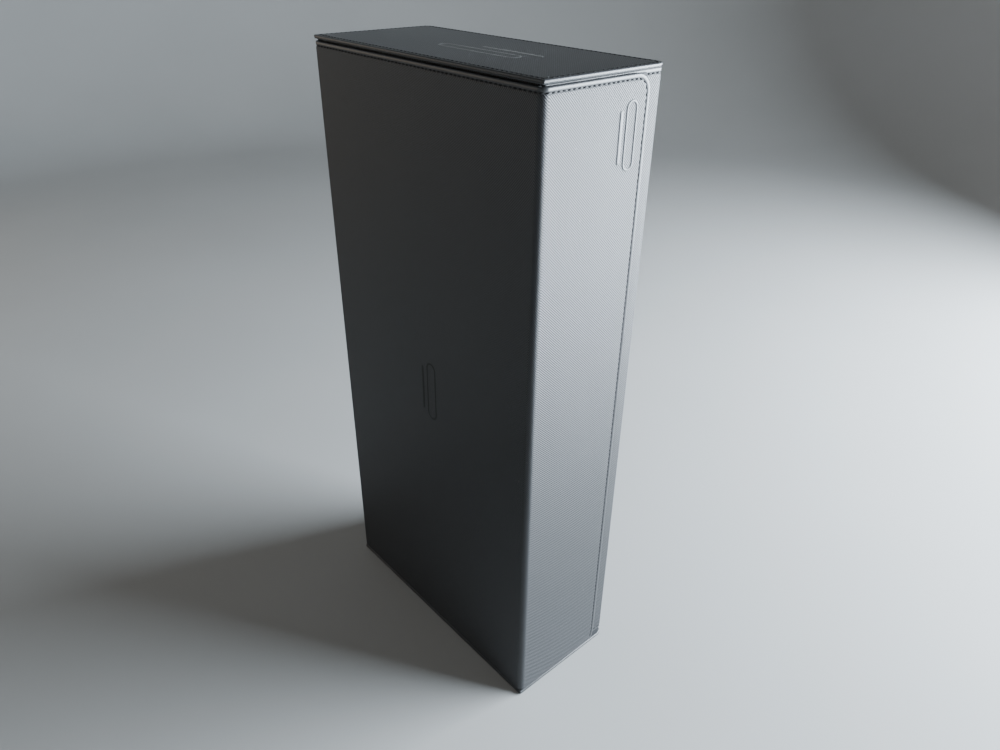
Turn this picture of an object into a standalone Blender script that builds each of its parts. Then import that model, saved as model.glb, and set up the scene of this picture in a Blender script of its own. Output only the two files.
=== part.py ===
"""A hard-shell trading card storage case with two lanes and a flap lid, standing on its lower end.

Metres, +Z up. The case stands on its lower end plate: +Z runs along its length, -Y faces out of the
lid and +X faces out of the front flap. The origin is the middle of the footprint, on the ground.
"""

import math

import bpy

MM = 0.001
PARTS = "trading_card_storage_case"

# Driving dimensions of the whole case.
CASE_LENGTH = 418 * MM
CASE_WIDTH = 202 * MM
CASE_DEPTH = 88 * MM

# Layers that every wall is made of, from the outside in.
GAP = 0.3 * MM
COVER = 0.6 * MM
WALL_BOARD = 2.0 * MM
LINING = 0.6 * MM

# End plates, which stand proud of the box so that they finish flush with the lid and the flap.
PLATE_BOARD = 1.5 * MM
PLATE_CORNER_AT_LID = 1.2 * MM
PLATE_CORNER_AT_BASE = 6 * MM

# Lid, front flap and their two folds.
LID_BOARD = 1.9 * MM
LID_END_GAP = 1.0 * MM
FLAP_BOARD = 1.4 * MM
FLAP_LINING = 0.5 * MM
FLAP_COVER = 0.5 * MM
FLAP_HEIGHT = 76.5 * MM
FLAP_CORNER_UPPER = 10 * MM
FLAP_LOWER_ARC = 23 * MM
FLAP_LOWER_ARC_RISE = 9.9 * MM
HINGE_RADIUS = 3.0 * MM
HINGE_AXIS_INSET = 0.7 * MM
FOLD_RADIUS = 3.7 * MM
FOLD_AXIS_INSET = 1.0 * MM

# Magnets in the flap and the steel discs that they meet in the front wall.
MAGNET_RADIUS = 6 * MM
KEEPER_RADIUS = 7 * MM
MAGNET_COUNT = 4
MAGNET_END_DISTANCE = 55 * MM
MAGNET_EDGE_DISTANCE = 13 * MM

# Middle partition and the index dividers that lie in the two lanes.
PARTITION_BOARD = 1.5 * MM
DIVIDER_THICKNESS = 1.2 * MM
DIVIDER_CLEARANCE = 0.9 * MM
DIVIDER_HEIGHT = 72 * MM
DIVIDER_TAB_HEIGHT = 5 * MM
DIVIDER_TAB_WIDTH = 26 * MM
DIVIDER_CORNER = 3 * MM
DIVIDERS_PER_LANE = 2

ARC_STEPS = 6
DISC_STEPS = 24

# Planes worked out from the dimensions above.
HINGE_SIDE = -CASE_WIDTH / 2
FLAP_SIDE = CASE_WIDTH / 2
LID_SIDE = -CASE_DEPTH / 2
BASE_SIDE = CASE_DEPTH / 2

PLATE = COVER + GAP + PLATE_BOARD
WALL_START = PLATE + GAP
WALL_END = CASE_LENGTH - WALL_START
END_BOARD_START = WALL_START
LANE_START = END_BOARD_START + WALL_BOARD + GAP + LINING
LANE_END = CASE_LENGTH - LANE_START

LID_THICKNESS = COVER + GAP + LID_BOARD + GAP + LINING
LID_INSIDE = LID_SIDE + LID_THICKNESS
WALL_TOP = LID_INSIDE + GAP
LID_START = PLATE + LID_END_GAP
LID_END = CASE_LENGTH - LID_START

FLAP_THICKNESS = FLAP_COVER + GAP + FLAP_BOARD + GAP + FLAP_LINING
FLAP_INSIDE = FLAP_SIDE - FLAP_THICKNESS
FLAP_TOP = LID_SIDE + FOLD_RADIUS + GAP
FLAP_EDGE = LID_SIDE + FLAP_HEIGHT

BASE_LINING_FACE = BASE_SIDE - COVER - GAP - WALL_BOARD - GAP - LINING
REAR_LINING_FACE = HINGE_SIDE + COVER + GAP + WALL_BOARD + GAP + LINING
FRONT_LINING_FACE = FLAP_INSIDE - GAP - COVER - GAP - WALL_BOARD - GAP - LINING
PARTITION = LINING + GAP + PARTITION_BOARD + GAP + LINING
LANE_WIDTH = (FRONT_LINING_FACE - REAR_LINING_FACE - PARTITION) / 2
PARTITION_START = REAR_LINING_FACE + LANE_WIDTH

HINGE_AXIS = (HINGE_SIDE + HINGE_AXIS_INSET, LID_SIDE + HINGE_AXIS_INSET)
FOLD_AXIS = (FLAP_SIDE - FOLD_AXIS_INSET, LID_SIDE + FOLD_AXIS_INSET)

# Colour, roughness and metallic value of each kind of piece.
LEATHERETTE = ((0.045, 0.046, 0.050), 0.48, 0.0)
MICROFIBRE = ((0.030, 0.030, 0.033), 0.95, 0.0)
GREYBOARD = ((0.33, 0.31, 0.28), 0.90, 0.0)
MAGNET = ((0.55, 0.56, 0.58), 0.30, 1.0)
STEEL = ((0.50, 0.50, 0.51), 0.38, 1.0)
DIVIDER_SHEET = ((0.060, 0.061, 0.065), 0.60, 0.0)


def clear_scene():
    for obj in list(bpy.data.objects):
        bpy.data.objects.remove(obj, do_unlink=True)


def make_collection(name):
    collection = bpy.data.collections.new(name)
    bpy.context.scene.collection.children.link(collection)
    return collection


def give_material(obj, finish):
    colour, roughness, metallic = finish
    material = bpy.data.materials.new(obj.name + "_material")
    material.use_nodes = True
    shader = material.node_tree.nodes["Principled BSDF"]
    shader.inputs["Base Color"].default_value = (*colour, 1.0)
    shader.inputs["Roughness"].default_value = roughness
    shader.inputs["Metallic"].default_value = metallic
    obj.data.materials.append(material)


def file_part(obj, name, finish, parent):
    """Names a new object, files it with the parts and hangs it on its joint's empty, if it has one."""
    obj.name = name
    obj.data.name = name
    give_material(obj, finish)
    for collection in list(obj.users_collection):
        collection.objects.unlink(obj)
    bpy.data.collections[PARTS].objects.link(obj)
    if parent:
        obj.parent = parent
        obj.location = obj.location - parent_place(parent)
    return obj


def parent_place(empty):
    place = empty.location.copy()
    if empty.parent:
        place += parent_place(empty.parent)
    return place


def make_axis(name, place, parent=None):
    """An empty on a joint's axis; the pieces that turn or slide there hang on it."""
    empty = bpy.data.objects.new(name, None)
    empty.location = place
    empty.empty_display_size = 10 * MM
    bpy.data.collections[PARTS].objects.link(empty)
    if parent:
        empty.parent = parent
        empty.location = empty.location - parent_place(parent)
    return empty


def slab(name, low, high, finish, parent=None):
    """A flat sheet or board between two corners."""
    size = [high[i] - low[i] for i in range(3)]
    middle = [(high[i] + low[i]) / 2 for i in range(3)]
    bpy.ops.mesh.primitive_cube_add(size=1, location=middle)
    obj = bpy.context.object
    obj.scale = size
    bpy.ops.object.transform_apply(location=False, rotation=False, scale=True)
    return file_part(obj, name, finish, parent)


def arc(centre, radius, start, end, steps=ARC_STEPS):
    """Points on an arc, from one angle in degrees to another."""
    angles = [math.radians(start + (end - start) * i / steps) for i in range(steps + 1)]
    return [(centre[0] + radius * math.cos(a), centre[1] + radius * math.sin(a)) for a in angles]


def rounded_rectangle(low, high, radii):
    """An outline whose corners are rounded: low-low, high-low, high-high, low-high."""
    corners = ((low[0], low[1]), (high[0], low[1]), (high[0], high[1]), (low[0], high[1]))
    inward = ((1, 1), (-1, 1), (-1, -1), (1, -1))
    points = []
    for turn, (corner, way, radius) in enumerate(zip(corners, inward, radii)):
        centre = (corner[0] + way[0] * radius, corner[1] + way[1] * radius)
        points += arc(centre, radius, 180 + 90 * turn, 270 + 90 * turn)
    return points


def cut_sheet(name, outlines, thickness, place, finish, parent=None, rotation=(0, 0, 0)):
    """A sheet cut to an outline; the outlines after the first one are holes."""
    curve = bpy.data.curves.new(name, "CURVE")
    curve.dimensions = "2D"
    curve.fill_mode = "BOTH"
    curve.extrude = thickness / 2
    for outline in outlines:
        spline = curve.splines.new("POLY")
        spline.points.add(len(outline) - 1)
        for point, (x, y) in zip(spline.points, outline):
            point.co = (x, y, 0, 1)
        spline.use_cyclic_u = True
    obj = bpy.data.objects.new(name, curve)
    bpy.context.scene.collection.objects.link(obj)
    obj.location = place
    obj.rotation_euler = rotation
    return file_part(obj, name, finish, parent)


def disc(name, radius, thickness, place, finish, parent=None):
    """A flat disc whose axis runs along X."""
    bpy.ops.mesh.primitive_cylinder_add(
        vertices=DISC_STEPS, radius=radius, depth=thickness, location=place, rotation=(0, math.pi / 2, 0)
    )
    obj = bpy.context.object
    obj.data.shade_smooth()
    obj.data.set_sharp_from_angle(angle=math.radians(40))
    return file_part(obj, name, finish, parent)


def circle(centre, radius):
    return arc(centre, radius, 0, 360 * (DISC_STEPS - 1) / DISC_STEPS, DISC_STEPS - 1)


def magnet_heights():
    span = CASE_LENGTH - 2 * MAGNET_END_DISTANCE
    return [MAGNET_END_DISTANCE + span * i / (MAGNET_COUNT - 1) for i in range(MAGNET_COUNT)]


# Turns a sheet that is drawn in X and Y so that it lies in the Y-Z plane, with its thickness along X.
FACING_X = (math.pi / 2, 0, math.pi / 2)


def make_base():
    outer = BASE_SIDE
    inner = BASE_SIDE - COVER
    left, right = HINGE_SIDE, FLAP_INSIDE - GAP
    slab("base_cover", (left, inner, WALL_START), (right, outer, WALL_END), LEATHERETTE)
    outer = inner - GAP
    inner = outer - WALL_BOARD
    inset = COVER + GAP
    slab(
        "base_board", (left + inset, inner, WALL_START), (right - inset, outer, WALL_END), GREYBOARD
    )
    slab(
        "base_lining",
        (REAR_LINING_FACE + GAP, BASE_LINING_FACE, LANE_START - LINING),
        (FRONT_LINING_FACE - GAP, BASE_LINING_FACE + LINING, LANE_END + LINING),
        MICROFIBRE,
    )


def make_side_wall(name, cover_face, inward, cover_top):
    """The rear or the front wall, from its outer face inwards: cover, board and lining."""

    def layer(part, start, thickness, low_y, high_y, low_z, high_z, finish):
        near, far = sorted((start, start + inward * thickness))
        slab(f"{name}_{part}", (near, low_y, low_z), (far, high_y, high_z), finish)

    board_face = cover_face + inward * (COVER + GAP)
    lining_face = board_face + inward * (WALL_BOARD + GAP)
    below_base = BASE_SIDE - COVER - GAP
    layer("cover", cover_face, COVER, cover_top, below_base, WALL_START, WALL_END, LEATHERETTE)
    layer(
        "lining", lining_face, LINING, WALL_TOP, BASE_LINING_FACE + LINING,
        LANE_START - LINING, LANE_END + LINING, MICROFIBRE,
    )
    return board_face


def make_rear_wall():
    board_face = make_side_wall("rear_wall", HINGE_SIDE, 1, LID_SIDE + HINGE_RADIUS + GAP)
    slab(
        "rear_wall_board",
        (board_face, WALL_TOP, WALL_START),
        (board_face + WALL_BOARD, BASE_SIDE - COVER - GAP - WALL_BOARD - GAP, WALL_END),
        GREYBOARD,
    )


def make_front_wall():
    """The front wall's board has a round pocket for each steel keeper disc."""
    board_face = make_side_wall("front_wall", FLAP_INSIDE - GAP, -1, WALL_TOP)
    middle = board_face - WALL_BOARD / 2
    keeper_y = FLAP_EDGE - MAGNET_EDGE_DISTANCE
    outline = [
        (WALL_TOP, WALL_START),
        (BASE_SIDE - COVER - GAP - WALL_BOARD - GAP, WALL_START),
        (BASE_SIDE - COVER - GAP - WALL_BOARD - GAP, WALL_END),
        (WALL_TOP, WALL_END),
    ]
    pockets = [circle((keeper_y, z), KEEPER_RADIUS + GAP) for z in magnet_heights()]
    cut_sheet(
        "front_wall_board", [outline] + pockets, WALL_BOARD, (middle, 0, 0), GREYBOARD,
        rotation=FACING_X,
    )
    for number, z in enumerate(magnet_heights(), 1):
        disc(f"front_wall_keeper_{number}", KEEPER_RADIUS, WALL_BOARD, (middle, keeper_y, z), STEEL)


def make_end(name, upper):
    """One end of the case: its outer plate and, inside the walls, the end board and its lining."""

    def heights(start, thickness):
        """A layer's lowest and highest z, measured inwards from the end's outer face."""
        if upper:
            return CASE_LENGTH - start - thickness, CASE_LENGTH - start
        return start, start + thickness

    corners = (PLATE_CORNER_AT_LID,) * 2 + (PLATE_CORNER_AT_BASE,) * 2
    low = (HINGE_SIDE, LID_SIDE)
    high = (FLAP_SIDE, BASE_SIDE)
    for part, start, thickness, finish in (
        ("plate_cover", 0, COVER, LEATHERETTE),
        ("plate_board", COVER + GAP, PLATE_BOARD, GREYBOARD),
    ):
        z = sum(heights(start, thickness)) / 2
        cut_sheet(
            f"{name}_{part}", [rounded_rectangle(low, high, corners)], thickness, (0, 0, z), finish
        )

    rear_board_face = HINGE_SIDE + COVER + GAP + WALL_BOARD + GAP
    front_board_face = FRONT_LINING_FACE + LINING
    base_board_face = BASE_LINING_FACE + LINING
    z_low, z_high = heights(END_BOARD_START, WALL_BOARD)
    slab(
        f"{name}_board",
        (rear_board_face, WALL_TOP, z_low),
        (front_board_face, base_board_face, z_high),
        GREYBOARD,
    )
    z_low, z_high = heights(END_BOARD_START + WALL_BOARD + GAP, LINING)
    slab(
        f"{name}_lining",
        (REAR_LINING_FACE + GAP, WALL_TOP, z_low),
        (FRONT_LINING_FACE - GAP, BASE_LINING_FACE - GAP, z_high),
        MICROFIBRE,
    )


def make_partition():
    """The wall between the two lanes: a board with lining on both its faces."""
    x = PARTITION_START
    for part, thickness, finish in (
        ("rear_lining", LINING, MICROFIBRE),
        ("board", PARTITION_BOARD, GREYBOARD),
        ("front_lining", LINING, MICROFIBRE),
    ):
        slab(
            f"partition_{part}",
            (x, WALL_TOP, LANE_START + GAP),
            (x + thickness, BASE_LINING_FACE - GAP, LANE_END - GAP),
            finish,
        )
        x += thickness + GAP


def fold_outline(corner, ways, radius, thickness):
    """The cross-section of a sheet bent a quarter turn round a corner of the case."""
    centre = (corner[0] - ways[0] * radius, corner[1] - ways[1] * radius)
    outer = [(x * ways[0], y * ways[1]) for x, y in arc((0, 0), radius, 0, 90)]
    inner = [(x * ways[0], y * ways[1]) for x, y in arc((0, 0), radius - thickness, 90, 0)]
    return [(centre[0] + x, centre[1] + y) for x, y in outer + inner]


def make_rear_hinge():
    """The strip of the cover that wraps from the rear wall onto the lid and bends when it opens."""
    outline = fold_outline((HINGE_SIDE, LID_SIDE), (-1, -1), HINGE_RADIUS, COVER)
    middle = (LID_START + LID_END) / 2
    cut_sheet("rear_hinge_strip", [outline], LID_END - LID_START, (0, 0, middle), LEATHERETTE)


def make_lid(hinge):
    left = HINGE_SIDE + HINGE_RADIUS + GAP
    right = FLAP_SIDE - FOLD_RADIUS - GAP
    y = LID_SIDE
    for part, thickness, inset, finish in (
        ("cover", COVER, 0, LEATHERETTE),
        ("board", LID_BOARD, COVER, GREYBOARD),
        ("lining", LINING, COVER, MICROFIBRE),
    ):
        slab(
            f"lid_{part}",
            (left + inset, y, LID_START + inset),
            (right - inset, y + thickness, LID_END - inset),
            finish,
            hinge,
        )
        y += thickness + GAP


def make_front_fold(hinge):
    """The strip of the cover that bends round the lid's front edge onto the flap."""
    outline = fold_outline((FLAP_SIDE, LID_SIDE), (1, -1), FOLD_RADIUS, COVER)
    middle = (LID_START + LID_END) / 2
    cut_sheet(
        "front_fold_strip", [outline], LID_END - LID_START, (0, 0, middle), LEATHERETTE, hinge
    )


def flap_outline(inset):
    """Points (y, z) round the flap. Its lower free corner is a wide arc that the lower end cuts short."""
    low, high = LID_START + inset, LID_END - inset
    arc_centre = (FLAP_EDGE - FLAP_LOWER_ARC, LID_START + FLAP_LOWER_ARC_RISE)
    arc_radius = FLAP_LOWER_ARC - inset
    arc_start = math.degrees(math.asin((low - arc_centre[1]) / arc_radius))
    corner = FLAP_CORNER_UPPER - inset
    corner_centre = (FLAP_EDGE - inset - corner, high - corner)
    points = [(FLAP_TOP, low)] + arc(arc_centre, arc_radius, arc_start, 0)
    return points + arc(corner_centre, corner, 0, 90) + [(FLAP_TOP, high)]


def make_flap(fold):
    """The flap's three layers, with the magnets held in round pockets of its board."""
    magnet_y = FLAP_EDGE - MAGNET_EDGE_DISTANCE
    pockets = [circle((magnet_y, z), MAGNET_RADIUS + GAP) for z in magnet_heights()]
    x = FLAP_SIDE
    for part, thickness, inset, holes, finish in (
        ("cover", FLAP_COVER, 0, [], LEATHERETTE),
        ("board", FLAP_BOARD, COVER, pockets, GREYBOARD),
        ("lining", FLAP_LINING, COVER, [], MICROFIBRE),
    ):
        outline = flap_outline(inset)
        place = (x - thickness / 2, 0, 0)
        cut_sheet(
            f"flap_{part}", [outline] + holes, thickness, place, finish, fold, rotation=FACING_X
        )
        if part == "board":
            for number, z in enumerate(magnet_heights(), 1):
                disc(
                    f"flap_magnet_{number}", MAGNET_RADIUS, FLAP_BOARD,
                    (place[0], magnet_y, z), MAGNET, fold,
                )
        x -= thickness + GAP


def divider_outline(left, right):
    """A divider's outline: a sheet with rounded corners and an index tab in the middle of its top."""
    bottom = BASE_LINING_FACE - GAP
    shoulder = bottom - DIVIDER_HEIGHT
    tab = shoulder - DIVIDER_TAB_HEIGHT
    middle = (left + right) / 2
    tab_left = middle - DIVIDER_TAB_WIDTH / 2
    tab_right = middle + DIVIDER_TAB_WIDTH / 2
    r = DIVIDER_CORNER
    points = arc((tab_left + r, tab + r), r, 180, 270) + arc((tab_right - r, tab + r), r, 270, 360)
    points += [(tab_right, shoulder)]
    points += arc((right - r, shoulder + r), r, 270, 360) + arc((right - r, bottom - r), r, 0, 90)
    points += arc((left + r, bottom - r), r, 90, 180) + arc((left + r, shoulder + r), r, 180, 270)
    points += [(tab_left, shoulder)]
    return points


def make_dividers():
    """Index dividers: with the case on its end, they lie stacked on the lower end's lining."""
    for lane, left in (
        ("rear_lane", REAR_LINING_FACE),
        ("front_lane", PARTITION_START + PARTITION),
    ):
        outline = divider_outline(left + DIVIDER_CLEARANCE, left + LANE_WIDTH - DIVIDER_CLEARANCE)
        slide = None
        for number in range(1, DIVIDERS_PER_LANE + 1):
            z = LANE_START + number * GAP + (number - 0.5) * DIVIDER_THICKNESS
            slide = make_axis(f"{lane}_divider_{number}_slide", (left + LANE_WIDTH / 2, 0, z), slide)
            cut_sheet(
                f"{lane}_divider_{number}", [outline], DIVIDER_THICKNESS, (0, 0, z), DIVIDER_SHEET,
                slide,
            )


def main():
    clear_scene()
    make_collection(PARTS)
    hinge = make_axis("lid_hinge_axis", (*HINGE_AXIS, CASE_LENGTH / 2))
    fold = make_axis("flap_fold_axis", (*FOLD_AXIS, CASE_LENGTH / 2), hinge)
    make_base()
    make_rear_wall()
    make_front_wall()
    make_end("lower_end", upper=False)
    make_end("upper_end", upper=True)
    make_partition()
    make_rear_hinge()
    make_lid(hinge)
    make_front_fold(hinge)
    make_flap(fold)
    make_dividers()


main()
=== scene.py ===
"""The look of the trading card storage case around its CAD frame: skins, hems, stitches and linings.

Metres, +Z up. The case stands on its lower end plate, -Y faces out of the lid and +X out of the front flap.
"""

import math

import bmesh
import bpy
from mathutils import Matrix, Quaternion, Vector


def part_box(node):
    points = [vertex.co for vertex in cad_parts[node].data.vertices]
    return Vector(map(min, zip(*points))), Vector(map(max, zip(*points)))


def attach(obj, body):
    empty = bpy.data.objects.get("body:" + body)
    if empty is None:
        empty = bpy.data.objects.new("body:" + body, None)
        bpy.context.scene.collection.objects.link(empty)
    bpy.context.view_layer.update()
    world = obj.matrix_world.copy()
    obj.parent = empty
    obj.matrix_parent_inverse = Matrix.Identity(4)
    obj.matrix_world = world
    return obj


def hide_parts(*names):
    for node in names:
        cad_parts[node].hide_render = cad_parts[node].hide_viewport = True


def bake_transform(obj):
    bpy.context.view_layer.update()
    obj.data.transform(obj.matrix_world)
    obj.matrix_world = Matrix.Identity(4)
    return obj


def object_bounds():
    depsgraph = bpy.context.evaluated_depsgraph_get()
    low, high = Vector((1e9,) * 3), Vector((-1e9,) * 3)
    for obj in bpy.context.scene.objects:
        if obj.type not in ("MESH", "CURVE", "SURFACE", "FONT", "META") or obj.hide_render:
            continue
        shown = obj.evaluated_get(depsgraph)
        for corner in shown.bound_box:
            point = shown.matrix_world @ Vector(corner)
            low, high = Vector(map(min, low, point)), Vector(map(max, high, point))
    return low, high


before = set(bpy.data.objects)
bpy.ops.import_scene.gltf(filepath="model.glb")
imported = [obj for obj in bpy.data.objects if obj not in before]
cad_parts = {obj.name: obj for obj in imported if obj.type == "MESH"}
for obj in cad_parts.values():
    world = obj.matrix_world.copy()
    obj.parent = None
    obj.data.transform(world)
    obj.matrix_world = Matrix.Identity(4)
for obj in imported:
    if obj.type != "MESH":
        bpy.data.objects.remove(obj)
cad_low, cad_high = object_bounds()

MM = 0.001

# Outer faces of the case, and of the boards behind its skins.
LID_FACE = cad_low.y
FLAP_FACE = cad_high.x
HINGE_FACE = cad_low.x
BASE_FACE = cad_high.y
TOP = cad_high.z

LID_LOW, LID_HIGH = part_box("lid_cover")
FLAP_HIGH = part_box("flap_cover")[1]
WALL_LOW, WALL_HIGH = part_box("front_wall_cover")
COVER_Z = (LID_LOW.z, LID_HIGH.z)
WALL_Z = (WALL_LOW.z, WALL_HIGH.z)
WALL_TOP = WALL_LOW.y
LID_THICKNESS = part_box("lid_board")[1].y - LID_FACE + 0.15 * MM
FLAP_THICKNESS = FLAP_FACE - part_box("flap_board")[0].x + 0.15 * MM
WALL_THICKNESS = WALL_HIGH.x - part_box("front_wall_board")[0].x

# Turned edges of the leatherette, and the groove that the stitches press into them.
ROLL = 0.9 * MM
ROLL_ANGLES = (0, 22.5, 45, 67.5, 90)
INNER_EDGE = 0.35 * MM
STITCH_INSET = 2.7 * MM
STITCH_VALLEY = 0.36 * MM
MARGIN_END = 3.0  # mm in from the edge, where the smooth margin gives way to the twill
GROOVE_SHADE_FROM = 0.45  # share of the groove's depth where its painted shade starts
STITCH_GROOVE = (  # (mm in from the edge, share of the groove's depth)
    (1.35, 0.0),
    (1.8, 0.10),
    (2.2, 0.45),
    (2.45, 0.9),
    (2.7, 1.0),
    (2.95, 0.9),
    (3.2, 0.45),
    (3.6, 0.08),
    (4.2, 0.0),
)

# Folds of the skin.
FOLD_RADIUS = FLAP_FACE - LID_HIGH.x
FOLD_SKIN = 0.9 * MM
HINGE_RADIUS = 3.0 * MM
HINGE_SKIN = 0.8 * MM
BODY_CORNER = 0.7 * MM
RIM_RADIUS = 1.2 * MM
FLAP_UPPER_CORNER = 10 * MM
FLAP_LOWER_ARC = 23 * MM
FLAP_LOWER_RISE = 9.9 * MM

# End plates. The side is (mm in from the outline, mm below the outer face), round both layers and their seam.
PLATE_SMOOTHNESS = 0.7
PLATE_CORNERS = (1.2 * MM, 1.2 * MM, 6.0 * MM, 6.0 * MM)
PLATE_SIDE = (
    (1.0, 2.4),
    (0.62, 2.28),
    (0.3, 2.05),
    (0.1, 1.8),
    (0.06, 1.62),
    (0.5, 1.54),
    (0.5, 1.26),
    (0.04, 1.18),
    (0.0, 1.0),
)

# Thread.
STITCH_PITCH = 3.4 * MM
STITCH_LENGTH = 2.6 * MM
STITCH_RADIUS = 0.37 * MM
GOLDEN_ANGLE = 2.399  # radians from one stitch to the next, so that their slants never repeat
SUNK_DEPTH = 0.26 * MM  # how much deeper the thread lies under the plate that the case stands on

# Twill embossed in the leatherette.
TWILL_PITCH = 1.04 * MM
BEAD_RATE = 0.9  # beads along a rib for each rib across
BEAD_WAIST = 0.72  # share of a rib's height left between two beads

# Plain marks.
MARK_BAND = 1.3 * MM

# Index dividers.
TAB_HEIGHT = 5 * MM
TAB_HALF_WIDTH = 13 * MM
DIVIDER_CORNER = 3 * MM
DIVIDER_BEAD = 0.2 * MM


# Materials


def new_material(name):
    material = bpy.data.materials.new(name)
    material.use_nodes = True
    return material, material.node_tree, material.node_tree.nodes["Principled BSDF"]


def node(tree, kind, values=None, **settings):
    """A new shader node with its settings and with values or links for its inputs."""
    made = tree.nodes.new(kind)
    for name, value in settings.items():
        setattr(made, name, value)
    for name, value in (values or {}).items():
        if isinstance(value, bpy.types.NodeSocket):
            tree.links.new(value, made.inputs[name])
        else:
            made.inputs[name].default_value = value
    return made


def math_node(tree, operation, first, second=0.0, clamp=False):
    values = {0: first, 1: second}
    return node(tree, "ShaderNodeMath", values, operation=operation, use_clamp=clamp).outputs[0]


def noise(tree, vector, scale, detail=2.0, roughness=0.5):
    values = {"Vector": vector, "Scale": scale, "Detail": detail, "Roughness": roughness}
    return node(tree, "ShaderNodeTexNoise", values).outputs["Fac"]


def remap(tree, value, low, high):
    """A value from 0 to 1, stretched to run from low to high."""
    values = {"Value": value, "To Min": low, "To Max": high}
    return node(tree, "ShaderNodeMapRange", values).outputs["Result"]


def colour_between(tree, value, first, second):
    mixed = node(tree, "ShaderNodeMix", {"Factor": value}, data_type="RGBA")
    mixed.inputs["A"].default_value = (*first, 1)
    mixed.inputs["B"].default_value = (*second, 1)
    return mixed.outputs["Result"]


def colour_over(tree, amount, base, top):
    """The base link with a plain colour laid over it by an amount."""
    mixed = node(tree, "ShaderNodeMix", {"Factor": amount}, data_type="RGBA")
    tree.links.new(base, mixed.inputs["A"])
    mixed.inputs["B"].default_value = (*top, 1)
    return mixed.outputs["Result"]


def dress(tree, shader, colour, roughness, height, strength, distance):
    """Link a shader's colour and roughness, and bump it by a height."""
    tree.links.new(colour, shader.inputs["Base Color"])
    tree.links.new(roughness, shader.inputs["Roughness"])
    bump = node(tree, "ShaderNodeBump", {"Height": height, "Strength": strength, "Distance": distance})
    tree.links.new(bump.outputs["Normal"], shader.inputs["Normal"])


def object_place(tree):
    return node(tree, "ShaderNodeTexCoord").outputs["Object"]


def twill(tree, sheet):
    """Height, from 0 to 1, of diagonal twill ribs, each one beaded by the cross threads."""
    split = node(tree, "ShaderNodeSeparateXYZ", {0: sheet})
    u, v = split.outputs["X"], split.outputs["Y"]
    turns = math.tau / (math.sqrt(2) * TWILL_PITCH)
    across = math_node(tree, "MULTIPLY", math_node(tree, "ADD", u, v), turns)
    along = math_node(tree, "MULTIPLY", math_node(tree, "SUBTRACT", u, v), turns * BEAD_RATE)
    wave = {0: math_node(tree, "SINE", across), 1: 0.5, 2: 0.5}
    rib = node(tree, "ShaderNodeMath", wave, operation="MULTIPLY_ADD").outputs[0]
    stagger = math_node(tree, "MULTIPLY", across, 0.5)
    bead = math_node(tree, "SINE", math_node(tree, "ADD", along, stagger))
    beads = remap(tree, math_node(tree, "ABSOLUTE", bead), BEAD_WAIST, 1.0)
    return math_node(tree, "MULTIPLY", rib, beads)


def make_leatherette():
    """Charcoal leatherette: twill in the field, smooth grain on the hems, painted shade in the twill's
    valleys and the stitch groove.
    """
    material, tree, shader = new_material("leatherette")
    sheet = node(tree, "ShaderNodeUVMap", uv_map="Sheet").outputs["UV"]
    hem = node(tree, "ShaderNodeAttribute", attribute_name="hem").outputs["Fac"]
    field = math_node(tree, "SUBTRACT", 1.0, hem, clamp=True)
    # painted shade mask: the hem value above 1, deep in the stitch groove
    groove_shade = math_node(tree, "SUBTRACT", hem, 1.0, clamp=True)
    weave = twill(tree, sheet)
    grain = noise(tree, sheet, 1800, 3.0)
    cloud = noise(tree, object_place(tree), 14, 4.0)
    dust = math_node(tree, "GREATER_THAN", noise(tree, object_place(tree), 520, 2.0), 0.765)

    # painted shade: the twill's colour runs from the rib tops down to near-black in the valleys between them
    twill_with_painted_shade = colour_between(tree, weave, (0.014, 0.0145, 0.016), (0.050, 0.051, 0.054))
    margin = colour_between(tree, grain, (0.040, 0.041, 0.043), (0.050, 0.051, 0.053))
    surface = node(tree, "ShaderNodeMix", {"Factor": hem}, data_type="RGBA")
    tree.links.new(twill_with_painted_shade, surface.inputs["A"])
    tree.links.new(margin, surface.inputs["B"])
    shading = {"Color": surface.outputs["Result"], "Value": remap(tree, cloud, 0.84, 1.16)}
    colour = node(tree, "ShaderNodeHueSaturation", shading).outputs["Color"]
    colour = colour_over(tree, math_node(tree, "MULTIPLY", dust, 0.5), colour, (0.16, 0.16, 0.15))
    # painted shade: the stitch groove is darkened towards near-black where the hem value rises above 1
    colour = colour_over(tree, math_node(tree, "MULTIPLY", groove_shade, 0.7), colour, (0.004, 0.004, 0.004))

    valleys = math_node(tree, "MULTIPLY", field, remap(tree, weave, 0.20, 0.02))
    rough = math_node(tree, "ADD", remap(tree, cloud, 0.31, 0.37), valleys)
    rough = math_node(tree, "ADD", rough, math_node(tree, "MULTIPLY", groove_shade, 0.22))
    relief = math_node(tree, "MULTIPLY", weave, field)
    relief = math_node(tree, "ADD", relief, math_node(tree, "MULTIPLY", grain, 0.22))
    dress(tree, shader, colour, rough, relief, 1.0, 0.17 * MM)
    shader.inputs["IOR"].default_value = 1.5
    return material


def make_microfibre():
    """Black brushed microfibre of the linings."""
    material, tree, shader = new_material("microfibre")
    place = object_place(tree)
    nap = noise(tree, place, 900, 5.0, 0.7)
    brushed = noise(tree, place, 30, 3.0)
    both = math_node(tree, "MULTIPLY", nap, remap(tree, brushed, 0.6, 1.0))
    colour = colour_between(tree, both, (0.012, 0.012, 0.014), (0.050, 0.050, 0.055))
    dress(tree, shader, colour, remap(tree, brushed, 0.85, 1.0), nap, 0.6, 0.15 * MM)
    shader.inputs["Sheen Weight"].default_value = 0.35
    shader.inputs["Sheen Roughness"].default_value = 0.5
    return material


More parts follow.
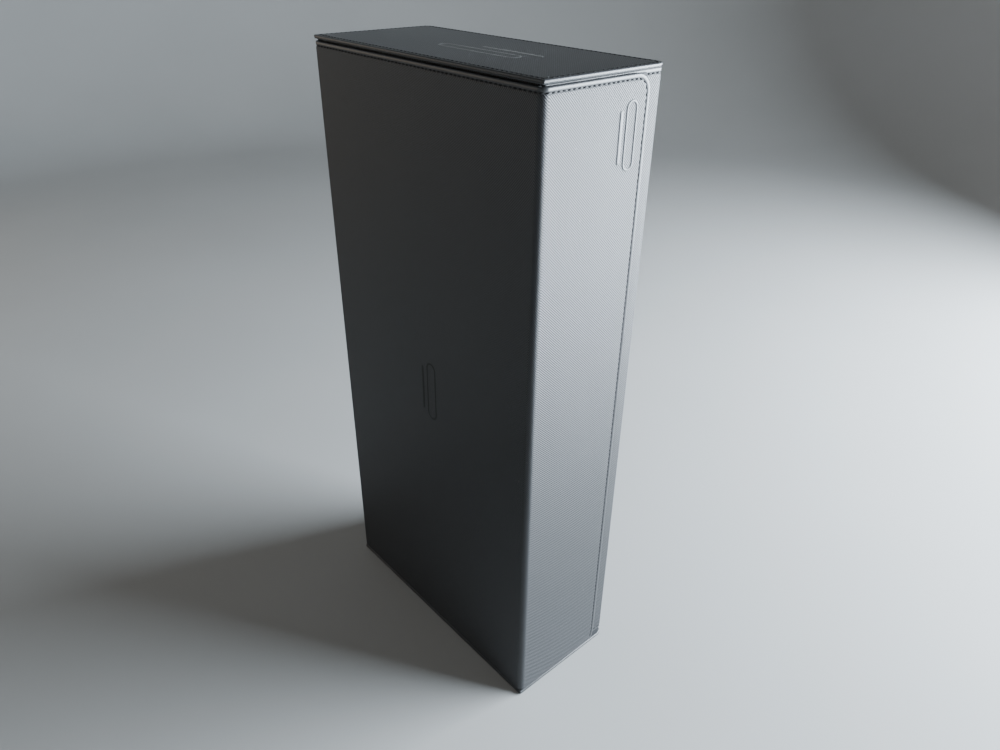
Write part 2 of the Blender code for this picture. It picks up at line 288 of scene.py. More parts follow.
def make_thread():
    """Black thread with its twist."""
    material, tree, shader = new_material("thread")
    values = {"Vector": object_place(tree), "Scale": 260.0, "Distortion": 1.5}
    ply = node(tree, "ShaderNodeTexWave", values, bands_direction="DIAGONAL").outputs["Fac"]
    colour = colour_between(tree, ply, (0.0025, 0.0025, 0.003), (0.008, 0.008, 0.009))
    dress(tree, shader, colour, remap(tree, ply, 0.85, 0.7), ply, 0.5, 0.05 * MM)
    return material


def make_divider_sheet():
    """Matte polypropylene with the fine orange peel of an extruded sheet."""
    material, tree, shader = new_material("divider_sheet")
    place = object_place(tree)
    peel = noise(tree, place, 700, 2.0)
    cloud = noise(tree, place, 22, 3.0)
    colour = colour_between(tree, cloud, (0.040, 0.041, 0.045), (0.062, 0.063, 0.068))
    dress(tree, shader, colour, remap(tree, cloud, 0.50, 0.64), peel, 0.35, 0.05 * MM)
    return material


def make_metal(name, dark, light, rough_low, rough_high, stretch):
    """Plated or brushed metal, whose marks are longest along the axis that stretch scales least."""
    material, tree, shader = new_material(name)
    values = {"Vector": object_place(tree), "Scale": stretch}
    place = node(tree, "ShaderNodeMapping", values).outputs["Vector"]
    marks = noise(tree, place, 160, 5.0, 0.65)
    colour = colour_between(tree, marks, dark, light)
    dress(tree, shader, colour, remap(tree, marks, rough_low, rough_high), marks, 0.2, 0.03 * MM)
    shader.inputs["Metallic"].default_value = 1.0
    return material


def make_print_and_shade_paint(name, dark, light, roughness):
    """Colour laid on the skin, thinner where the grain stands up: a light print, and dark painted shade for a
    debossed mark.
    """
    material, tree, shader = new_material(name)
    worn = remap(tree, noise(tree, object_place(tree), 420, 4.0, 0.6), -0.4, 1.4)
    colour = colour_between(tree, worn, dark, light)
    dress(tree, shader, colour, remap(tree, worn, roughness, roughness + 0.15), worn, 0.4, 0.04 * MM)
    return material


def make_backdrop(name, dark, light, roughness):
    material, tree, shader = new_material(name)
    cloud = noise(tree, object_place(tree), 3.0, 4.0)
    tree.links.new(colour_between(tree, cloud, dark, light), shader.inputs["Base Color"])
    shader.inputs["Roughness"].default_value = roughness
    return material


# Meshes. A vertex is (x, y, z, u, v, hem): its place, its place on the flat sheet of leatherette, and its
# hem value, which is 0 in the twill, 1 on a smooth margin and up to 2 in the stitch groove, where above 1 is
# painted shade.


def new_piece(name, vertices, faces, material, sharp_angle=42):
    """A mesh object with its sheet coordinates and hem attribute, smooth apart from its sharp edges."""
    mesh = bpy.data.meshes.new(name)
    mesh.from_pydata([vertex[:3] for vertex in vertices], [], faces)
    sheet = mesh.uv_layers.new(name="Sheet")
    for loop in mesh.loops:
        sheet.data[loop.index].uv = vertices[loop.vertex_index][3:5]
    hem = mesh.attributes.new("hem", "FLOAT", "POINT")
    hem.data.foreach_set("value", [vertex[5] for vertex in vertices])
    draft = bmesh.new()
    draft.from_mesh(mesh)
    bmesh.ops.recalc_face_normals(draft, faces=draft.faces)
    draft.to_mesh(mesh)
    draft.free()
    mesh.shade_smooth()
    mesh.set_sharp_from_angle(angle=math.radians(sharp_angle))
    mesh.materials.append(material)
    obj = bpy.data.objects.new(name, mesh)
    bpy.context.scene.collection.objects.link(obj)
    return obj


def loft(loops):
    """A closed solid through closed loops of equal length."""
    count = len(loops[0])
    faces = []
    for start in range(0, (len(loops) - 1) * count, count):
        for j in range(count):
            k = (j + 1) % count
            faces.append((start + j, start + k, start + count + k, start + count + j))
    end = (len(loops) - 1) * count
    faces.append(tuple(range(count)))
    faces.append(tuple(range(end, end + count)))
    return [vertex for loop in loops for vertex in loop], faces


def open_loft(rings):
    """A closed solid through open rings of equal length, with one flat cap across all their ends."""
    count = len(rings[0])
    faces = []
    for start in range(0, (len(rings) - 1) * count, count):
        for j in range(count - 1):
            faces.append((start + j, start + j + 1, start + count + j + 1, start + count + j))
    end = (len(rings) - 1) * count
    faces.append(tuple(range(count)))
    faces.append(tuple(range(end, end + count)))
    firsts = [i * count for i in range(len(rings))]
    faces.append(tuple(firsts + [i + count - 1 for i in reversed(firsts)]))
    return [vertex for ring in rings for vertex in ring], faces


def arc(centre, radius, start, end, steps):
    """Points on an arc between two angles in degrees."""
    angles = [math.radians(start + (end - start) * i / steps) for i in range(steps + 1)]
    return [(centre[0] + radius * math.cos(a), centre[1] + radius * math.sin(a)) for a in angles]


def rounded_rectangle(low, high, radii, inset=0.0, steps=6):
    """An outline from low-low round by high-low, moved inwards; each corner keeps a little of its radius."""
    corners = ((low[0], low[1]), (high[0], low[1]), (high[0], high[1]), (low[0], high[1]))
    inward = ((1, 1), (-1, 1), (-1, -1), (1, -1))
    points = []
    for turn, (corner, way, radius) in enumerate(zip(corners, inward, radii)):
        left = max(radius - inset, 0.3 * MM)
        centre = (corner[0] + way[0] * (inset + left), corner[1] + way[1] * (inset + left))
        points += arc(centre, left, 180 + 90 * turn, 270 + 90 * turn, steps)
    return points


def hem_steps(stitched):
    """(distance in from a turned edge, depth below the face, hem), from the edge to past the stitches."""
    angles = [math.radians(a) for a in ROLL_ANGLES]
    rolled = [(ROLL * (1 - math.cos(a)), ROLL * (1 - math.sin(a))) for a in angles]
    if not stitched:
        return [(d, w, 0.0) for d, w in rolled] + [(d * MM, 0.0, 0.0) for d, _ in STITCH_GROOVE]
    steps = [(d, w, 1.0) for d, w in rolled]
    for distance, share in STITCH_GROOVE:
        margin = 1.0 if distance < MARGIN_END else 0.0
        # the deepest part of the groove gets painted shade, carried in the hem value above 1
        groove_shade = max(0.0, share - GROOVE_SHADE_FROM) / (1 - GROOVE_SHADE_FROM)
        steps.append((distance * MM, share * STITCH_VALLEY, margin + groove_shade))
    return steps


def hemmed_section(low, high, thickness, stitched_low, stitched_high):
    """(place, depth, hem) round the cross-section of a wrapped board between its two turned edges."""
    lower, upper = hem_steps(stitched_low), hem_steps(stitched_high)
    points = [(low + INNER_EDGE, thickness, 0.0), (low, thickness - INNER_EDGE, 0.0)]
    points += [(low + d, w, h) for d, w, h in lower]
    points += [(high - d, w, h) for d, w, h in reversed(upper)]
    points += [(high, thickness - INNER_EDGE, 0.0), (high - INNER_EDGE, thickness, 0.0)]
    return points


# Lid, fold and flap, which are one sheet of leatherette: u runs from the hinge over lid and fold to the flap.

LID_START = HINGE_FACE + HINGE_RADIUS
FOLD_START = FLAP_FACE - FOLD_RADIUS
FLAP_START = LID_FACE + FOLD_RADIUS
FOLD_LENGTH = FOLD_RADIUS * math.pi / 2


def fold_point(angle, depth):
    """A point on the fold's skin; angle 0 meets the lid and 90 meets the flap."""
    a = math.radians(angle)
    reach = FOLD_RADIUS - depth
    return FOLD_START + reach * math.sin(a), FLAP_START - reach * math.cos(a)


def hinge_point(angle, depth):
    """A point on the rear hinge's skin; angle 0 meets the rear wall and 90 meets the lid."""
    a = math.radians(angle)
    reach = HINGE_RADIUS - depth
    return LID_START - reach * math.cos(a), LID_FACE + HINGE_RADIUS - reach * math.sin(a)


def make_lid_wrap(leatherette):
    section = hemmed_section(*COVER_Z, LID_THICKNESS, False, True)
    loops = [[(x, LID_FACE + w, z, x, z, h) for z, w, h in section] for x in (LID_START, FOLD_START)]
    lid = new_piece("lid_wrap", *loft(loops), leatherette)
    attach(lid, "lid")
    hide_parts("lid_cover", "lid_board")


def make_fold_skin(leatherette):
    section = hemmed_section(*COVER_Z, FOLD_SKIN, False, True)
    steps = 12
    loops = []
    for i in range(steps + 1):
        angle = 90 * i / steps
        u = FOLD_START + FOLD_LENGTH * i / steps
        loops.append([(*fold_point(angle, w), z, u, z, h) for z, w, h in section])
    fold = new_piece("front_fold_skin", *loft(loops), leatherette)
    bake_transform(fold)
    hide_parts("front_fold_strip")


def make_hinge_skin(leatherette):
    section = hemmed_section(*COVER_Z, HINGE_SKIN, False, True)
    steps = 10
    loops = []
    for i in range(steps + 1):
        u = LID_START - HINGE_RADIUS * math.pi / 2 * (1 - i / steps)
        loops.append([(*hinge_point(90 * i / steps, w), z, u, z, h) for z, w, h in section])
    skin = new_piece("rear_hinge_skin", *loft(loops), leatherette)
    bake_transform(skin)
    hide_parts("rear_hinge_strip")


def flap_outline(inset):
    """(y, z, share of the hem) round the flap's free sides, from the fold's lower end to its upper end."""
    low, high = COVER_Z[0] + inset, COVER_Z[1] - inset
    edge = FLAP_HIGH.y
    centre = (edge - FLAP_LOWER_ARC, COVER_Z[0] + FLAP_LOWER_RISE)
    radius = FLAP_LOWER_ARC - inset
    start = math.degrees(math.asin((low - centre[1]) / radius))
    lower = arc(centre, radius, start, 0, 6)
    upper_centre = (edge - FLAP_UPPER_CORNER, COVER_Z[1] - FLAP_UPPER_CORNER)
    upper = arc(upper_centre, FLAP_UPPER_CORNER - inset, 0, 90, 8)
    plain = [(FLAP_START, low, 0.0), (lower[0][0] - 1.5 * MM, low, 0.0)]
    return plain + [(y, z, 1.0) for y, z in lower + upper + [(FLAP_START, high)]]


def make_flap_wrap(leatherette):
    """The flap's skin, with a stitched hem on its free sides and a bare edge along its lower end."""
    rings = []
    inner_edge = [(INNER_EDGE, FLAP_THICKNESS, 0.0), (0.0, FLAP_THICKNESS - INNER_EDGE, 0.0)]
    stitched_steps = inner_edge + hem_steps(True)
    bare_steps = inner_edge + hem_steps(False)
    for (inset, depth, hem), (_, bare_depth, _) in zip(stitched_steps, bare_steps):
        ring = []
        for y, z, share in flap_outline(inset):
            w = bare_depth + (depth - bare_depth) * share
            u = FOLD_START + FOLD_LENGTH + y - FLAP_START
            ring.append((FLAP_FACE - w, y, z, u, z, hem * share))
        rings.append(ring)
    flap = new_piece("flap_wrap", *open_loft(rings), leatherette)
    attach(flap, "flap")
    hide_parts("flap_cover", "flap_board")


# End plates: two layers of skin glued edge to edge, which leaves a fine seam round the side.


def make_end_plate(name, outer, inward, leatherette):
    """A plate whose outer face is at the height outer; inward is the way to the case along z."""
    low, high = (HINGE_FACE, LID_FACE), (FLAP_FACE, BASE_FACE)
    steps = [(d * MM, w * MM, 1.0) for d, w in PLATE_SIDE]
    steps += [(d, w, max(h, PLATE_SMOOTHNESS)) for d, w, h in hem_steps(True)]
    loops = []
    for inset, depth, hem in steps:
        outline = rounded_rectangle(low, high, PLATE_CORNERS, inset)
        loops.append([(x, y, outer + inward * depth, x, y, hem) for x, y in outline])
    plate = new_piece(f"{name}_plate_wrap", *loft(loops), leatherette)
    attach(plate, "root")
    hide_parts(f"{name}_plate_cover", f"{name}_plate_board")


# Walls: front wall, base and rear wall are wrapped in one sheet; u runs from the front rim to the hinge.


def measured(outer, start):
    """Outer points (x, y, nx, ny) with their distance along the sheet added."""
    made = []
    u = start
    for i, point in enumerate(outer):
        if i:
            u += math.dist(point[:2], outer[i - 1][:2])
        made.append((*point, u))
    return made


def outward_arc(centre, radius, start, end, steps):
    """Points (x, y, nx, ny) on an arc, with the way out of it."""
    points = arc(centre, radius, start, end, steps)
    return [(x, y, (x - centre[0]) / radius, (y - centre[1]) / radius) for x, y in points]


def wall_loops(outer, inner):
    """Loops along z through a wall's cross-section, whose outer side dips at both stitch rows."""
    steps = hem_steps(True)
    stations = [(WALL_Z[0] + d, w, h) for d, w, h in steps]
    stations += [(WALL_Z[1] - d, w, h) for d, w, h in reversed(steps)]
    loops = []
    for z, w, h in stations:
        loop = [(x - nx * w, y - ny * w, z, u, z, h) for x, y, nx, ny, u in outer]
        loop += [(x, y, z, outer[-1][4], z, 0.0) for x, y in inner]
        loops.append(loop)
    return loops


FRONT_FACE = WALL_HIGH.x
CORNER_Y = BASE_FACE - BODY_CORNER
FRONT_RIM_LENGTH = RIM_RADIUS * math.pi / 2
FRONT_LENGTH = FRONT_RIM_LENGTH + CORNER_Y - WALL_TOP - RIM_RADIUS
CORNER_LENGTH = BODY_CORNER * math.pi / 2
BASE_LENGTH = 2 * CORNER_LENGTH + FRONT_FACE - HINGE_FACE - 2 * BODY_CORNER


def front_wall_outer():
    rim = outward_arc((FRONT_FACE - RIM_RADIUS, WALL_TOP + RIM_RADIUS), RIM_RADIUS, -90, 0, 5)
    return measured(rim + [(FRONT_FACE, CORNER_Y, 1, 0)], 0.0)


def base_outer():
    front = outward_arc((FRONT_FACE - BODY_CORNER, CORNER_Y), BODY_CORNER, 0, 90, 6)
    rear = outward_arc((HINGE_FACE + BODY_CORNER, CORNER_Y), BODY_CORNER, 90, 180, 6)
    return measured(front + rear, FRONT_LENGTH)


def rear_wall_outer():
    points = [(HINGE_FACE, CORNER_Y, -1, 0), (HINGE_FACE, LID_FACE + HINGE_RADIUS, -1, 0)]
    return measured(points, FRONT_LENGTH + BASE_LENGTH)


def make_walls(leatherette):
    front_inner = FRONT_FACE - WALL_THICKNESS
    rear_inner = HINGE_FACE + WALL_THICKNESS
    base_inner = BASE_FACE - WALL_THICKNESS
    rim = arc((front_inner + RIM_RADIUS, WALL_TOP + RIM_RADIUS), RIM_RADIUS, 180, 270, 5)
    front = [(front_inner, CORNER_Y)] + rim
    base = [
        (rear_inner, CORNER_Y),
        (rear_inner, base_inner),
        (front_inner, base_inner),
        (front_inner, CORNER_Y),
    ]
    rear = [
        (HINGE_FACE + 1.0 * MM, WALL_TOP - 0.4 * MM),
        (rear_inner - 0.6 * MM, WALL_TOP),
        (rear_inner, WALL_TOP + 0.6 * MM),
        (rear_inner, CORNER_Y),
    ]
    for name, outer, inner in (
        ("front_wall", front_wall_outer(), front),
        ("base", base_outer(), base),
        ("rear_wall", rear_wall_outer(), rear),
    ):
        wall = new_piece(f"{name}_wrap", *loft(wall_loops(outer, inner)), leatherette)
        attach(wall, "root")
        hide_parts(f"{name}_cover", f"{name}_board")


# Linings and the boards covered in them.


def soft_sheet(name, low, high, material, edge, corner):
    """A flat sheet that fills a box, with eased edges and rounded corners."""
    size = [high[i] - low[i] for i in range(3)]
    thin = size.index(min(size))
    a, b = [i for i in range(3) if i != thin]
    edge = min(edge, size[thin] * 0.45)
    slopes = [(1 - math.sin(math.radians(t)), 1 - math.cos(math.radians(t))) for t in (0, 30, 60, 90)]
    profile = [(edge * i, edge * d) for i, d in slopes]
    profile += [(i, size[thin] - d) for i, d in reversed(profile)]
    loops = []
    for inset, depth in profile:
        loop = []
        for p, q in rounded_rectangle((low[a], low[b]), (high[a], high[b]), (corner,) * 4, inset, 4):
            place = [0.0, 0.0, 0.0]
            place[a], place[b], place[thin] = p, q, low[thin] + depth
            loop.append((*place, p, q, 0.0))
        loops.append(loop)
    return new_piece(name, *loft(loops), material)


def make_lining(name, node_name, body, material):
    low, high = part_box(node_name)
    lining = soft_sheet(name, low, high, material, 0.4 * MM, 1.2 * MM)
    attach(lining, body)
    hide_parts(node_name)


def make_linings(microfibre):
    for place in ("base", "rear_wall", "front_wall", "lower_end", "upper_end"):
        make_lining(f"{place}_felt", f"{place}_lining", "root", microfibre)
    make_lining("lid_felt", "lid_lining", "lid", microfibre)
    make_lining("flap_felt", "flap_lining", "flap", microfibre)


def make_inner_boards(leatherette, microfibre):
    """The end boards behind the linings, and the partition with the lining round all of it."""
    for place in ("lower_end", "upper_end"):
        low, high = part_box(f"{place}_board")
        board = soft_sheet(f"{place}_wrap", low, high, leatherette, 0.8 * MM, 0.8 * MM)
        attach(board, "root")
        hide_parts(f"{place}_board")
    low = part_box("partition_rear_lining")[0]
    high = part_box("partition_front_lining")[1]
    partition = soft_sheet("partition_wrap", low, high, microfibre, 1.3 * MM, 1.6 * MM)
    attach(partition, "root")
    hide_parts("partition_rear_lining", "partition_board", "partition_front_lining")


# Stitches


def stitch(centre, along, out, slant):
    """Vertices and faces of one stitch: a thread that rises from its hole and dives into the next."""
    along = (Quaternion(out, slant) @ along).normalized()
    across = out.cross(along)
    places = (-1.0, -0.9, -0.6, -0.2, 0.2, 0.6, 0.9, 1.0)
    sides = 8
    vertices = []
    faces = []
    for place in places:
        girth = STITCH_RADIUS * math.sqrt(max(1 - place**4, 0.06))
        lift = STITCH_RADIUS * (0.75 - 1.25 * place * place)
        middle = centre + along * (place * STITCH_LENGTH / 2) + out * lift
        for side in range(sides):
            a = math.tau * side / sides
            vertices.append(middle + across * (girth * math.cos(a)) + out * (girth * 0.85 * math.sin(a)))
    for ring in range(len(places) - 1):
        for side in range(sides):
            a, b = ring * sides + side, ring * sides + (side + 1) % sides
            faces.append((a, b, b + sides, a + sides))
    faces.append(tuple(range(sides)))
    faces.append(tuple(range(len(vertices) - sides, len(vertices))))
    return vertices, faces


def walk(path, pitch):
    """(point, direction, outward) at even distances along a path of (point, outward) pairs."""
    lengths = [(b[0] - a[0]).length for a, b in zip(path, path[1:])]
    count = int(sum(lengths) / pitch)
    pitch = sum(lengths) / count
    found = []
    segment, passed = 0, 0.0
    for i in range(count):
        target = (i + 0.5) * pitch
        while segment < len(lengths) - 1 and passed + lengths[segment] < target:
            passed += lengths[segment]
            segment += 1
        share = (target - passed) / lengths[segment]
        (a, out_a), (b, out_b) = path[segment], path[segment + 1]
        found.append((a.lerp(b, share), (b - a).normalized(), out_a.lerp(out_b, share).normalized()))
    return found


def stitch_row(name, stitches, thread):
    """One piece of many stitches, each of which leans by its own few degrees."""
    vertices, faces = [], []
    for number, (centre, along, out) in enumerate(stitches):
        slant = math.radians(4 + 3 * math.sin(number * GOLDEN_ANGLE))
        more, joined = stitch(centre, along, out, slant)
        faces += [tuple(i + len(vertices) for i in face) for face in joined]
        vertices += [(*point, 0.0, 0.0, 0.0) for point in more]
    return new_piece(name, vertices, faces, thread, 60)


def cover_path():
    """The stitch line from the hinge over the lid, round the fold and round the flap's free sides."""
    z = COVER_Z[1] - STITCH_INSET
    path = []
    for degrees in range(30, 90, 15):
        a = math.radians(degrees)
        place = Vector((*hinge_point(degrees, STITCH_VALLEY), z))
        path.append((place, Vector((-math.cos(a), -math.sin(a), 0))))
    for i in range(61):
        x = LID_START + (FOLD_START - LID_START) * i / 60
        path.append((Vector((x, LID_FACE + STITCH_VALLEY, z)), Vector((0, -1, 0))))
    for i in range(1, 12):
        a = math.radians(7.5 * i)
        place = Vector((*fold_point(7.5 * i, STITCH_VALLEY), z))
        path.append((place, Vector((math.sin(a), -math.cos(a), 0))))
    x = FLAP_FACE - STITCH_VALLEY
    for y, z, _ in reversed(flap_outline(STITCH_INSET)[2:]):
        path.append((Vector((x, y, z)), Vector((1, 0, 0))))
    return path


def make_cover_stitches(thread):
    """Rows on the lid, the fold and the flap, without the few stitches that fall on the rear hinge."""
    rows = {"lid": [], "fold": [], "flap": []}
    for found in walk(cover_path(), STITCH_PITCH):
        point = found[0]
        on_flap_face = point.x > FLAP_FACE - 1.2 * STITCH_VALLEY
        if on_flap_face and point.y > FLAP_START:
            rows["flap"].append(found)
        elif point.x > FOLD_START:
            rows["fold"].append(found)
        elif point.x > LID_START:
            rows["lid"].append(found)
    lid = stitch_row("lid_stitches", rows["lid"], thread)
    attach(lid, "lid")
    flap = stitch_row("flap_stitches", rows["flap"], thread)
    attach(flap, "flap")
    fold = stitch_row("fold_stitches", rows["fold"], thread)
    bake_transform(fold)


def make_plate_stitches(thread):
    low, high = (HINGE_FACE, LID_FACE), (FLAP_FACE, BASE_FACE)
    for name, z, up in (("lower_end", STITCH_VALLEY + SUNK_DEPTH, -1), ("upper_end", TOP - STITCH_VALLEY, 1)):
        outline = rounded_rectangle(low, high, PLATE_CORNERS, STITCH_INSET)
        outline.append(outline[0])
        path = [(Vector((x, y, z)), Vector((0, 0, up))) for x, y in outline]
        row = stitch_row(f"{name}_plate_stitches", walk(path, STITCH_PITCH), thread)
        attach(row, "root")


def make_wall_stitches(thread):
    outer = front_wall_outer()[5:] + base_outer() + rear_wall_outer()[1:]
    for name, z in (("lower_end", WALL_Z[0] + STITCH_INSET), ("upper_end", WALL_Z[1] - STITCH_INSET)):
        path = []
        for x, y, nx, ny, _ in outer:
            place = Vector((x - nx * STITCH_VALLEY, y - ny * STITCH_VALLEY, z))
            path.append((place, Vector((nx, ny, 0))))
        spans = [pair for pair in zip(path, path[1:]) if (pair[0][0] - pair[1][0]).length > 1e-6]
        path = [spans[0][0]] + [pair[1] for pair in spans]
        row = stitch_row(f"{name}_wall_stitches", walk(path, STITCH_PITCH), thread)
        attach(row, "root")


# Plain marks: a capsule outline with a bar beside it, without letters.


def capsule(centre, size, inset):
    """An outline of the given size with round ends, moved inwards."""
    low = (centre[0] - size[0] / 2, centre[1] - size[1] / 2)
    high = (centre[0] + size[0] / 2, centre[1] + size[1] / 2)
    return rounded_rectangle(low, high, (min(size) / 2,) * 4, inset, 8)


def make_mark(name, body, material, to_space, height, ring_centre, ring_size, bar_centre, bar_size):
    """A capsule ring and a bar that stand on a face; to_space places (across, along, above the face)."""
    ring = [(0.0, -1.0), (0.02, 0.4), (0.2, 0.9), (0.5, 1.0), (0.8, 0.9), (0.98, 0.4), (1.0, -1.0)]
    bar = [(0.0, -1.0), (0.03, 0.4), (0.3, 0.9), (0.7, 1.0)]
    vertices, faces = [], []
    for share, rise in ring:
        for a, b in capsule(ring_centre, ring_size, share * MARK_BAND):
            vertices.append((*to_space(a, b, rise * height), a, b, 1.0))
    count = len(vertices) // len(ring)
    for i in range(len(ring)):
        j = (i + 1) % len(ring)
        for k in range(count):
            n = (k + 1) % count
            faces.append((i * count + k, i * count + n, j * count + n, j * count + k))
    loops = []
    for share, rise in bar:
        outline = capsule(bar_centre, bar_size, share * min(bar_size) / 2)
        loops.append([(*to_space(a, b, rise * height), a, b, 1.0) for a, b in outline])
    more, joined = loft(loops)
    faces += [tuple(i + len(vertices) for i in face) for face in joined]
    mark = new_piece(name, vertices + more, faces, material)
    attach(mark, body)


def make_marks(leatherette):
    """Raised on the flap, painted dark on the lid as the shade of a debossed mark, and printed light on the
    upper end.
    """
    flap_z = TOP - 33.5 * MM
    lid_z = TOP / 2 + 3 * MM
    make_mark(
        "flap_mark",
        "flap",
        leatherette,
        to_space=lambda a, b, h: (FLAP_FACE + h, a, b),
        height=0.35 * MM,
        ring_centre=(LID_FACE + 63.3 * MM, flap_z),
        ring_size=(8.5 * MM, 36 * MM),
        bar_centre=(LID_FACE + 55.5 * MM, flap_z),
        bar_size=(2.4 * MM, 27 * MM),
    )
    # painted shade: a dark raised ring and bar stand in for the shade inside the lid's debossed mark
    make_mark(
        "lid_mark",
        "lid",
        make_print_and_shade_paint("painted_deboss_shade", (0.006, 0.006, 0.006), (0.016, 0.016, 0.016), 0.42),
        to_space=lambda a, b, h: (a, LID_FACE - h, b),
        height=0.12 * MM,
        ring_centre=(7.5 * MM, lid_z),
        ring_size=(9.5 * MM, 43 * MM),
        bar_centre=(-1.5 * MM, lid_z),
        bar_size=(2.2 * MM, 33 * MM),
    )
    make_mark(
        "upper_end_mark",
        "root",
        make_print_and_shade_paint("printed_ink", (0.20, 0.20, 0.20), (0.42, 0.42, 0.41), 0.50),
        to_space=lambda a, b, h: (a, b, TOP + h),
        height=0.08 * MM,
        ring_centre=(12 * MM, -7 * MM),
        ring_size=(66 * MM, 9.5 * MM),
        bar_centre=(26 * MM, 5 * MM),
        bar_size=(48 * MM, 2.2 * MM),
    )


# Dividers


def make_divider(node_name, material):
    """A sheet with rounded corners, an index tab and a raised bead that stiffens it."""
    low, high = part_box(node_name)
    middle = (low.x + high.x) / 2
    shoulder = low.y + TAB_HEIGHT

    def outline(inset):
        """The divider's outline, moved inwards."""
        left, right = low.x + inset, high.x - inset
        top, bottom = shoulder + inset, high.y - inset
        tab_left, tab_right = middle - TAB_HALF_WIDTH + inset, middle + TAB_HALF_WIDTH - inset
        tab = low.y + inset
        k = max(DIVIDER_CORNER - inset, 0.4 * MM)
        points = arc((tab_left + k, tab + k), k, 180, 270, 5) + arc((tab_right - k, tab + k), k, 270, 360, 5)
        points += [(tab_right, top)] + arc((right - k, top + k), k, 270, 360, 5)
        points += arc((right - k, bottom - k), k, 0, 90, 5) + arc((left + k, bottom - k), k, 90, 180, 5)
        points += arc((left + k, top + k), k, 180, 270, 5) + [(tab_left, top)]
        return points

    thickness = high.z - low.z
    face = thickness - DIVIDER_BEAD
    profile = (
        (0.25, DIVIDER_BEAD),
        (0.0, DIVIDER_BEAD + 0.2 * MM),
        (0.0, thickness - 0.3 * MM),
        (0.2, thickness - 0.06 * MM),
        (0.5, thickness),
        (1.6, thickness),
        (2.1, face),
        (2.5, face),
    )
    loops = []
    for inset, height in profile:
        loops.append([(x, y, low.z + height, x, y, 0.0) for x, y in outline(inset * MM)])
    divider = new_piece(f"{node_name}_sheet", *loft(loops), material)
    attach(divider, node_name)
    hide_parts(node_name)


# Stage, light and camera

FLOOR_MIDDLE = 0.02
FLOOR_RADIUS = 1.5
FLOOR_DROP = 0.2 * MM
COVE_RADIUS = 0.9
WALL_HEIGHT = 1.9
STAGE_SIDES = 96

CAMERA_PLACE = Vector((0.35482, -0.29464, 0.47606))
CAMERA_AIM = Vector((0.0162, 0.00838, 0.2090))
CAMERA_ROLL = math.radians(0.774)
FOCAL_LENGTH = 27.461
SENSOR_WIDTH = 36.0


def make_stage():
    """A round studio: a flat floor whose edge sweeps up into a wall, with no horizon in any view."""
    profile = [(FLOOR_MIDDLE + FLOOR_RADIUS * i / 8, 0.0) for i in range(8)]
    profile += [(x, z + COVE_RADIUS) for x, z in arc((FLOOR_RADIUS, 0.0), COVE_RADIUS, -90, 0, 16)]
    profile.append((FLOOR_RADIUS + COVE_RADIUS, WALL_HEIGHT))
    vertices = []
    for radius, z in profile:
        for side in range(STAGE_SIDES):
            a = math.tau * side / STAGE_SIDES
            vertices.append((radius * math.cos(a), radius * math.sin(a), z))
    faces = [tuple(range(STAGE_SIDES))]
    for ring in range(len(profile) - 1):
        start = ring * STAGE_SIDES
        for side in range(STAGE_SIDES):
            a, b = start + side, start + (side + 1) % STAGE_SIDES
            faces.append((a, b, b + STAGE_SIDES, a + STAGE_SIDES))
    mesh = bpy.data.meshes.new("floor")
    mesh.from_pydata(vertices, [], faces)
    mesh.shade_smooth()
    mesh.materials.append(make_backdrop("floor", (0.40, 0.40, 0.39), (0.46, 0.46, 0.45), 0.85))
    floor = bpy.data.objects.new("floor", mesh)
    bpy.context.scene.collection.objects.link(floor)
    floor.location.z = -FLOOR_DROP


def area_light(name, place, aim, size, power, colour):
    data = bpy.data.lights.new(name, "AREA")
    data.shape = "RECTANGLE"
    data.size, data.size_y = size
    data.energy = power
    data.color = colour
    light = bpy.data.objects.new(name, data)
    bpy.context.scene.collection.objects.link(light)
    light.location = place
    light.rotation_mode = "QUATERNION"
    light.rotation_quaternion = (Vector(aim) - Vector(place)).to_track_quat("-Z", "Y")


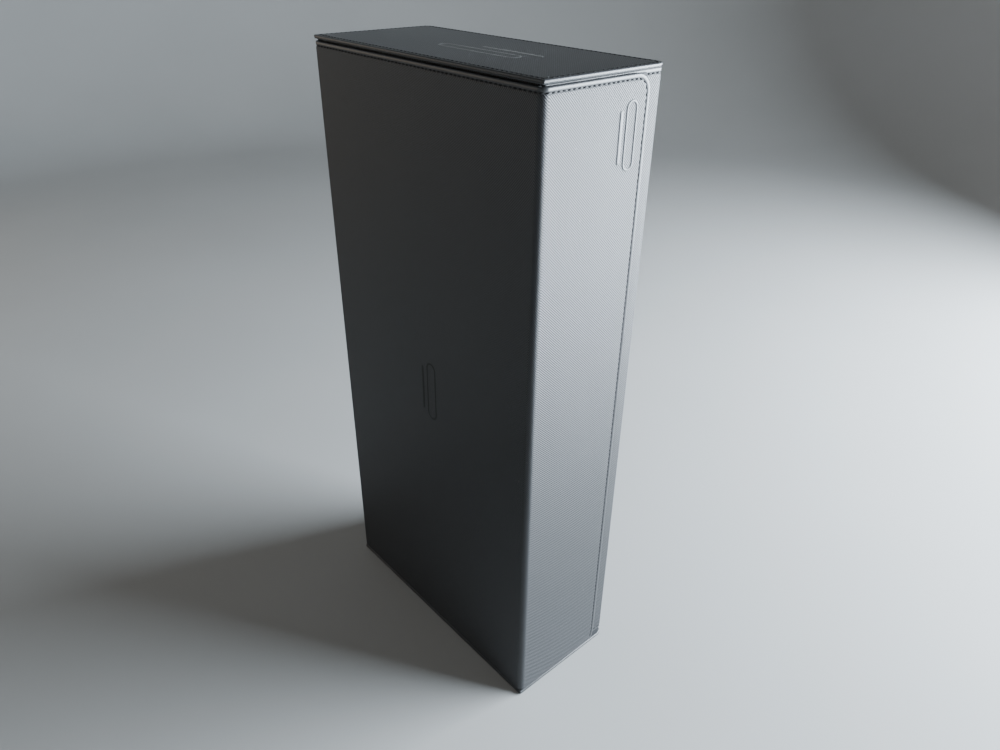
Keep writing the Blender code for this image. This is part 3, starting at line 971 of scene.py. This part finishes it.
def make_lights():
    """A low window that the flap mirrors, a light on the wall behind it, and two faint fills."""
    area_light(
        "window",
        place=(0.70, 0.86, 0.38),
        aim=(0.10, 0.0, 0.34),
        size=(1.0, 0.70),
        power=108,
        colour=(0.79, 0.895, 1.0),
    )
    area_light(
        "backdrop",
        place=(0.78, 0.96, 0.55),
        aim=(0.45, 2.4, 0.45),
        size=(0.8, 0.6),
        power=6.5,
        colour=(0.95, 0.97, 1.0),
    )
    area_light(
        "overhead",
        place=(-0.3, -0.4, 2.3),
        aim=(0.0, 0.0, 0.2),
        size=(1.8, 1.8),
        power=3.0,
        colour=(1.0, 0.90, 0.76),
    )
    area_light(
        "wall_glow",
        place=(-1.15, -0.75, 0.40),
        aim=(-0.05, 0.0, 0.38),
        size=(0.9, 0.6),
        power=1.6,
        colour=(1.0, 0.77, 0.54),
    )
    world = bpy.data.worlds.new("studio")
    world.use_nodes = True
    background = world.node_tree.nodes["Background"]
    background.inputs["Color"].default_value = (0.80, 0.84, 0.90, 1)
    background.inputs["Strength"].default_value = 0.06
    bpy.context.scene.world = world


def make_camera():
    """The camera as solved from the straight edges of the case in the photograph."""
    data = bpy.data.cameras.new("camera")
    data.lens = FOCAL_LENGTH
    data.sensor_width = SENSOR_WIDTH
    camera = bpy.data.objects.new("camera", data)
    bpy.context.scene.collection.objects.link(camera)
    camera.location = CAMERA_PLACE
    camera.rotation_mode = "QUATERNION"
    roll = Quaternion((0, 0, 1), CAMERA_ROLL)
    camera.rotation_quaternion = (CAMERA_AIM - CAMERA_PLACE).to_track_quat("-Z", "Y") @ roll
    bpy.context.scene.camera = camera


def finish_discs():
    """The magnets and their keepers keep their CAD shape and get their metals."""
    nickel = make_metal("magnet_nickel", (0.50, 0.50, 0.52), (0.68, 0.67, 0.66), 0.18, 0.34, (1, 1, 1))
    steel = make_metal("keeper_steel", (0.36, 0.36, 0.37), (0.55, 0.55, 0.56), 0.30, 0.46, (1, 12, 1))
    for number in range(1, 5):
        for name, metal in ((f"flap_magnet_{number}", nickel), (f"front_wall_keeper_{number}", steel)):
            for material_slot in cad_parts[name].material_slots:
                material_slot.material = metal


def main():
    leatherette = make_leatherette()
    microfibre = make_microfibre()
    thread = make_thread()
    make_lid_wrap(leatherette)
    make_fold_skin(leatherette)
    make_hinge_skin(leatherette)
    make_flap_wrap(leatherette)
    make_end_plate("lower_end", 0.0, 1, leatherette)
    make_end_plate("upper_end", TOP, -1, leatherette)
    make_walls(leatherette)
    make_linings(microfibre)
    make_inner_boards(leatherette, microfibre)
    make_cover_stitches(thread)
    make_plate_stitches(thread)
    make_wall_stitches(thread)
    make_marks(leatherette)
    sheet = make_divider_sheet()
    for lane in ("rear", "front"):
        for number in (1, 2):
            make_divider(f"{lane}_lane_divider_{number}", sheet)
    finish_discs()
    make_stage()
    make_lights()
    make_camera()


main()
